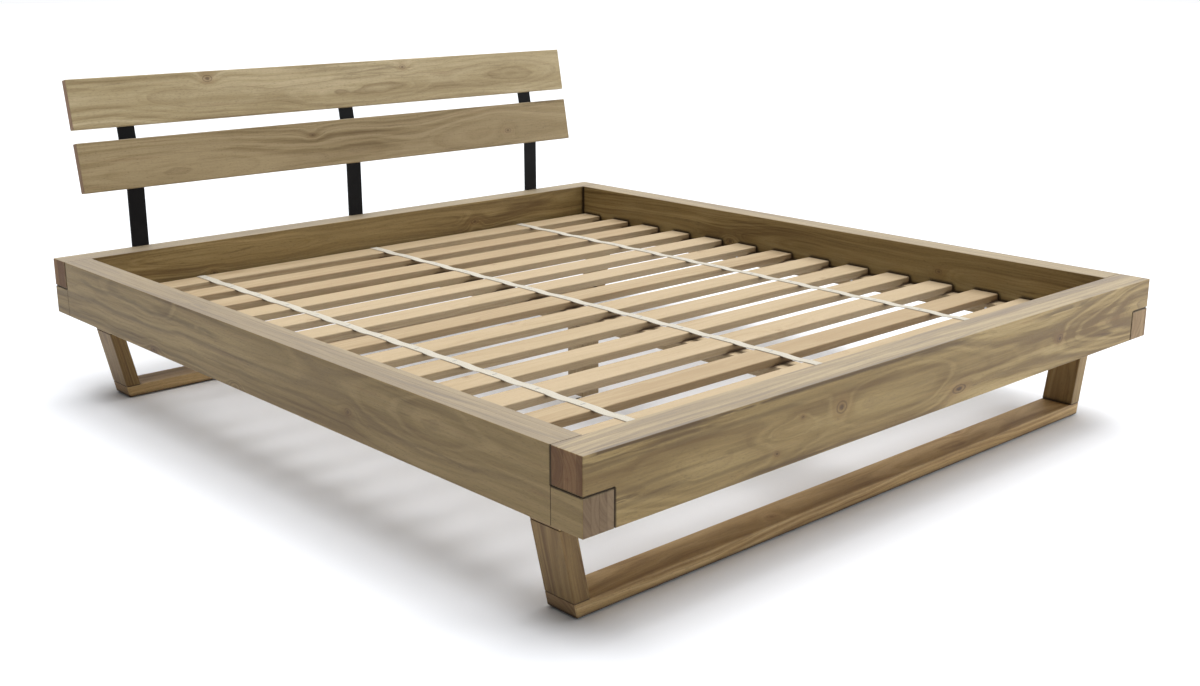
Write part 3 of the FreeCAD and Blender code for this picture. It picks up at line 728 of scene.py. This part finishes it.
def finish_rails():
    """The knots' and veins' places are in metres from the middle of each rail."""
    foot_knots = (
        knot(0.557, 0.003, 0.009, 0.005, 0.85, stretch=1.2),
        knot(-0.285, -0.008, 0.013, 0.010, 0.75, stretch=1.2),
        knot(-0.461, 0.004, 0.006, 0.020, 0.10, stretch=4.5),
        knot(-0.408, -0.015, 0.004, 0.004, 0.70, stretch=1.5),
        knot(-0.483, 0.044, 0.005, 0.004, 0.80, stretch=1.3),
        knot(0.136, 0.042, 0.009, 0.008, 0.90, stretch=2.6),
    )
    foot_veins_and_edge_shade = (
        # The first two lines run just under the top edge: a dark line there is painted shade of the
        # rounded edge.
        vein(-0.073, -1.30, -0.60, 0.014, 0.002, 0.90),
        vein(-0.072, -0.75, 0.15, 0.010, 0.003, 0.85),
        vein(-0.057, -1.10, -0.60, 0.009, 0.012, 0.60),
        vein(-0.068, -0.10, 0.22, 0.016, 0.010, 0.70),
        vein(-0.066, 0.40, 0.74, 0.015, 0.010, 0.70),
        vein(-0.046, -1.10, -0.35, 0.012, 0.020, 0.42),
        vein(0.010, -1.10, -0.50, 0.012, 0.024, 0.38),
        vein(0.040, -1.00, -0.40, 0.012, 0.030, 0.38),
        vein(0.070, -0.62, -0.20, 0.014, 0.006, 0.80),
    )
    head_knots = (knot(0.42, 0.01, 0.009, 0.020, 0.6), knot(-0.55, -0.02, 0.007, 0.016, 0.6))
    left_veins = (
        vein(-0.030, -0.90, 0.40, 0.010, 0.030, 0.34),
        vein(0.035, 0.10, 1.00, 0.012, 0.030, 0.38),
        vein(-0.060, 0.20, 1.10, 0.010, 0.020, 0.34),
    )
    left_knots = (
        knot(0.508, -0.067, 0.009, 0.016, 0.7),
        knot(-0.370, -0.019, 0.007, 0.012, 0.6),
        knot(0.10, -0.072, 0.003, 0.030, 0.2),
    )
    right_knots = (knot(0.3, 0.02, 0.009, 0.018, 0.6), knot(-0.5, -0.01, 0.007, 0.014, 0.5))
    brown_ended = {**HARDWOOD, "end": rgb(0.146, 0.092, 0.053), "end pale": rgb(0.255, 0.180, 0.110)}
    ochre_ended = {**HARDWOOD, "end": rgb(0.190, 0.120, 0.060), "end pale": rgb(0.300, 0.205, 0.115)}
    # Each row: node, palette, along the grain, towards the outer face, board thickness, board shift,
    # figure, knots, veins.
    beams = (
        ("foot_rail", HARDWOOD, ALONG_X, TOWARDS_FOOT, 0.034, 0.0, 1.2, foot_knots, foot_veins_and_edge_shade),
        ("head_rail", HARDWOOD, ALONG_X, ALONG_Y, 0.033, 0.41, 1.0, head_knots, ()),
        # Painted shade: the left rail, on the side turned away from the lamps, takes a darker copy of the
        # timber.
        ("side_rail_left", tinted(brown_ended, 0.79, 0.77, 0.76), ALONG_Y, TOWARDS_LEFT, 0.020, 0.16, 1.1,
         left_knots, left_veins),
        ("side_rail_right", ochre_ended, ALONG_Y, ALONG_X, 0.020, 0.73, 1.0, right_knots, ()),
    )
    for node, palette, along, outwards, thickness, shift, figure, knots, veins in beams:
        wood = timber(
            f"{node} timber",
            palette,
            along,
            outwards,
            middle(node),
            board_thickness=thickness,
            board_shift=shift,
            figure=figure,
            knots=knots,
            veins=veins,
        )
        set_material(node, wood)


def finish_sledges():
    """The legs' grain leans with them. The runners and top bars lie flat."""
    # Painted shade: the legs, under the rails, take a darker copy of the sledge timber; painted light:
    # the runners and top bars take a lighter copy.
    shaded_leg_palette = tinted(SLEDGE_WOOD, 0.74, 0.71, 0.60)
    lit_beam_palette = tinted(SLEDGE_WOOD, 1.40, 1.39, 1.36)
    beam_knots = (knot(0.45, -0.04, 0.009, 0.014, 0.6), knot(-0.31, 0.01, 0.007, 0.012, 0.5))
    sledge_boards = {"board_thickness": 0.05, "ring_width": 0.005}
    for number, end in enumerate(("foot", "head")):
        for side_name, side in SIDES:
            node = f"{end}_sledge_leg_{side_name}"
            up_the_leg = (side * math.sin(LEG_LEAN), 0.0, math.cos(LEG_LEAN))
            out_of_leg = (side * math.cos(LEG_LEAN), 0.0, -math.sin(LEG_LEAN))
            wood = timber(
                f"{end} {side_name} leg timber",
                shaded_leg_palette,
                up_the_leg,
                out_of_leg,
                middle(node),
                board_shift=0.3 * number + 0.11 * side,
                **sledge_boards,
            )
            set_material(node, wood)
        for part in ("runner", "top_bar"):
            node = f"{end}_sledge_{part}"
            wood = timber(
                f"{end} sledge {part} timber",
                lit_beam_palette,
                ALONG_X,
                ALONG_Z,
                middle(node),
                board_shift=0.27 + number,
                knots=beam_knots,
                end_share=0.8,
                **sledge_boards,
            )
            set_material(node, wood)


def finish_headboard():
    """The planks' grain runs along them, and their boards face along the reclined normal."""
    face = (0.0, -math.cos(HEADBOARD_RECLINE), math.sin(HEADBOARD_RECLINE))
    upper_knots = (knot(-0.471, -0.047, 0.009, 0.016, 0.7), knot(0.221, -0.044, 0.007, 0.014, 0.6))
    lower_knots = (knot(0.62, 0.02, 0.008, 0.016, 0.5), knot(-0.15, -0.03, 0.006, 0.012, 0.6))
    for which, palette, shift, knots in (
        # Painted light and shade: the upper plank takes a far paler, bluer copy of the timber than the
        # lower one.
        ("upper", tinted(HARDWOOD, 1.50, 1.70, 2.40), 0.02, upper_knots),
        ("lower", tinted(HARDWOOD, 1.02, 1.08, 1.36), 0.39, lower_knots),
    ):
        node = f"headboard_plank_{which}"
        wood = timber(
            f"{which} plank timber",
            palette,
            ALONG_X,
            face,
            middle(node),
            board_thickness=0.06,
            board_shift=shift,
            figure=0.75,
            knots=knots,
        )
        set_material(node, wood)


def finish_base():
    """The slats have one small knot each. The cleats, beam and leg have none."""
    base_boards = {
        "board_thickness": 0.4,
        "ring_width": 0.004,
        "pith_depth": 0.035,
        "figure": 0.8,
        "end_share": 0.4,
        "roughness": 0.6,
    }
    for number, node in enumerate(SLATS, start=1):
        place_along = math.sin(number * 2.3) * 0.75
        place_across = math.cos(number * 3.1) * 0.03
        wood = timber(
            f"Slat {number} timber",
            SOFTWOOD,
            ALONG_X,
            ALONG_Z,
            middle(node),
            board_shift=0.61 * number,
            board_contrast=0.3,
            knots=(knot(place_along, place_across, 0.007, 0.012, 0.7, stretch=1.5),),
            **base_boards,
        )
        set_material(node, wood)
    for node, along, through, shift in (
        ("slat_cleat_left", ALONG_Y, ALONG_X, 5.55),
        ("slat_cleat_right", ALONG_Y, ALONG_X, 5.92),
        ("centre_beam", ALONG_Y, ALONG_Z, 4.07),
        ("centre_leg", ALONG_Z, ALONG_X, 3.70),
    ):
        wood = timber(
            f"{node} timber",
            SOFTWOOD,
            along,
            through,
            middle(node),
            board_shift=shift,
            **base_boards,
        )
        set_material(node, wood)


def finish_metal():
    powder_coat = hard_skin(
        "Black powder coat",
        rgb(0.004, 0.004, 0.005),
        metallic=0.0,
        roughness=0.55,
        speckle=0.35,
        specular=0.12,
    )
    bright_zinc = hard_skin(
        "Bright zinc plate",
        rgb(0.55, 0.56, 0.58),
        metallic=1.0,
        roughness=0.32,
        speckle=0.08,
        speckle_scale=300.0,
    )
    yellow_zinc = hard_skin(
        "Yellow zinc plate",
        rgb(0.62, 0.50, 0.28),
        metallic=1.0,
        roughness=0.34,
        speckle=0.08,
        speckle_scale=300.0,
    )
    black_plastic = hard_skin(
        "Moulded black plastic",
        rgb(0.018, 0.018, 0.018),
        metallic=0.0,
        roughness=0.55,
        speckle=0.5,
        speckle_scale=700.0,
    )
    for side_name in ("left", "centre", "right"):
        set_material(f"headboard_bracket_{side_name}", powder_coat)
    for node in ("bracket_bolts", "bracket_washers"):
        set_material(node, powder_coat)
    for node in (
        "corner_bolts", "sledge_bolts", "sledge_screws", "plank_screws", "cleat_screws", "beam_screws",
        "strap_staples", "centre_leg_screw", "centre_foot_stud", "centre_foot_nut",
    ):
        set_material(node, bright_zinc)
    for node in ("threaded_inserts", "centre_leg_insert"):
        set_material(node, yellow_zinc)
    set_material("centre_foot_pad", black_plastic)
    for end in ("foot", "head"):
        for side_name, _ in SIDES:
            set_material(f"{end}_glide_{side_name}", black_plastic)


def webbing_strap(side_name, material):
    """A tape stapled to every slat, which sags between them in shallow parabolas."""
    node = f"webbing_strap_{side_name}"
    low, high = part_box(node)
    first_slat = middle(SLATS[0])[1]
    pitch = abs(middle(SLATS[1])[1] - first_slat)
    slat_low, slat_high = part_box(SLATS[0])
    half_slat = (slat_high.y - slat_low.y) / 2
    width = high.x - low.x
    length = high.y - low.y
    rows = round(length / (pitch / STRAP_ROWS_A_SLAT))
    bpy.ops.object.select_all(action="DESELECT")
    bpy.ops.mesh.primitive_grid_add(x_subdivisions=STRAP_COLUMNS, y_subdivisions=rows, size=1.0)
    piece = bpy.context.object
    piece.name = f"woven_strap_{side_name}"
    bpy.ops.object.mode_set(mode="EDIT")
    bpy.ops.transform.resize(value=(width, length, 1.0))
    bpy.ops.transform.translate(value=((low.x + high.x) / 2, (low.y + high.y) / 2, low.z))
    bpy.ops.object.mode_set(mode="OBJECT")
    gap = pitch - 2 * half_slat
    sags = {}
    for vertex in piece.data.vertices:
        along = (vertex.co.y - first_slat) % pitch
        share = (along - half_slat) / gap
        if 0.0 < share < 1.0:
            parabola = 4 * share * (1 - share)
            sags.setdefault(round(parabola, 3), []).append(vertex.index)
    for depth, rows_at_depth in sags.items():
        bpy.ops.object.mode_set(mode="EDIT")
        bpy.ops.mesh.select_all(action="DESELECT")
        bpy.ops.object.mode_set(mode="OBJECT")
        for index in rows_at_depth:
            piece.data.vertices[index].select = True
        bpy.ops.object.mode_set(mode="EDIT")
        bpy.ops.transform.translate(value=(0.0, 0.0, -depth * STRAP_SAG))
        bpy.ops.object.mode_set(mode="OBJECT")
    thickness = piece.modifiers.new("thickness", "SOLIDIFY")
    thickness.thickness = high.z - low.z
    thickness.offset = 1.0
    bpy.ops.object.modifier_apply(modifier=thickness.name)
    rounding = piece.modifiers.new("soft edges", "BEVEL")
    rounding.width = (high.z - low.z) * 0.3
    rounding.segments = 2
    bpy.ops.object.modifier_apply(modifier=rounding.name)
    bpy.ops.object.shade_smooth_by_angle(angle=STRAP_SMOOTHING)
    piece.data.materials.append(material)
    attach(piece, "bed")
    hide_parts(node)


def add_straps():
    undyed = tape("Undyed webbing", rgb(0.60, 0.56, 0.47), rgb(0.46, 0.42, 0.34))
    for side_name in ("left", "centre", "right"):
        webbing_strap(side_name, undyed)


finish_rails()
finish_sledges()
finish_headboard()
finish_base()
finish_metal()
add_straps()


# ---------------------------------------------------------------- floor, light and camera


def matte(name, colour):
    material, _, shader = new_material(name)
    shader.inputs["Base Color"].default_value = colour
    shader.inputs["Roughness"].default_value = 0.9
    return material


def set_stage():
    bpy.ops.object.select_all(action="DESELECT")
    bpy.ops.mesh.primitive_plane_add(size=FLOOR_SIZE, location=(0.0, 0.0, 0.0))
    floor = bpy.context.object
    floor.name = "floor"
    floor.data.materials.append(matte("Pale floor", rgb(0.84, 0.86, 0.90)))


def add_lamp(name, kind, power, place, towards):
    lamp = bpy.data.lights.new(name, kind)
    lamp.energy = power
    holder = bpy.data.objects.new(name, lamp)
    bpy.context.scene.collection.objects.link(holder)
    holder.location = place
    holder.rotation_euler = Vector(towards).to_track_quat("-Z", "Y").to_euler()
    return lamp


def set_lights():
    """A white room, a wide soft light overhead and a soft box beyond the foot's right corner."""
    world = bpy.data.worlds.new("Studio")
    bpy.context.scene.world = world
    world.use_nodes = True
    g = Graph(world.node_tree)
    backdrop = world.node_tree.nodes["Background"]
    path = g.node("ShaderNodeLightPath").outputs
    seen = g.math("MAXIMUM", path["Is Camera Ray"], g.math("MULTIPLY", path["Is Glossy Ray"], ROOM_GLOSS))
    g.plug(backdrop.inputs["Color"], rgb(0.97, 0.985, 1.0))
    g.plug(backdrop.inputs["Strength"], g.remap(seen, 0.0, 1.0, ROOM_LIGHT, 1.0, smooth=False))
    overhead = add_lamp("overhead", "SUN", OVERHEAD_LIGHT, OVERHEAD_PLACE, OVERHEAD_TOWARDS)
    overhead.angle = OVERHEAD_SPREAD
    front = add_lamp("front right", "AREA", FRONT_LIGHT, FRONT_PLACE, FRONT_TOWARDS)
    front.shape = "RECTANGLE"
    front.size, front.size_y = FRONT_SIZE


def set_camera():
    """Seen from beyond the foot's left corner, a little above the headboard's top."""
    camera = bpy.data.cameras.new("camera")
    camera.sensor_width = CAMERA_SENSOR
    camera.lens = CAMERA_LENS
    holder = bpy.data.objects.new("camera", camera)
    bpy.context.scene.collection.objects.link(holder)
    holder.location = CAMERA_PLACE
    holder.rotation_euler = (math.pi / 2 - CAMERA_LOOK_DOWN, 0.0, -CAMERA_TURN_RIGHT)
    bpy.context.scene.camera = holder
    bpy.context.scene.view_settings.view_transform = "Standard"


set_stage()
set_lights()
set_camera()
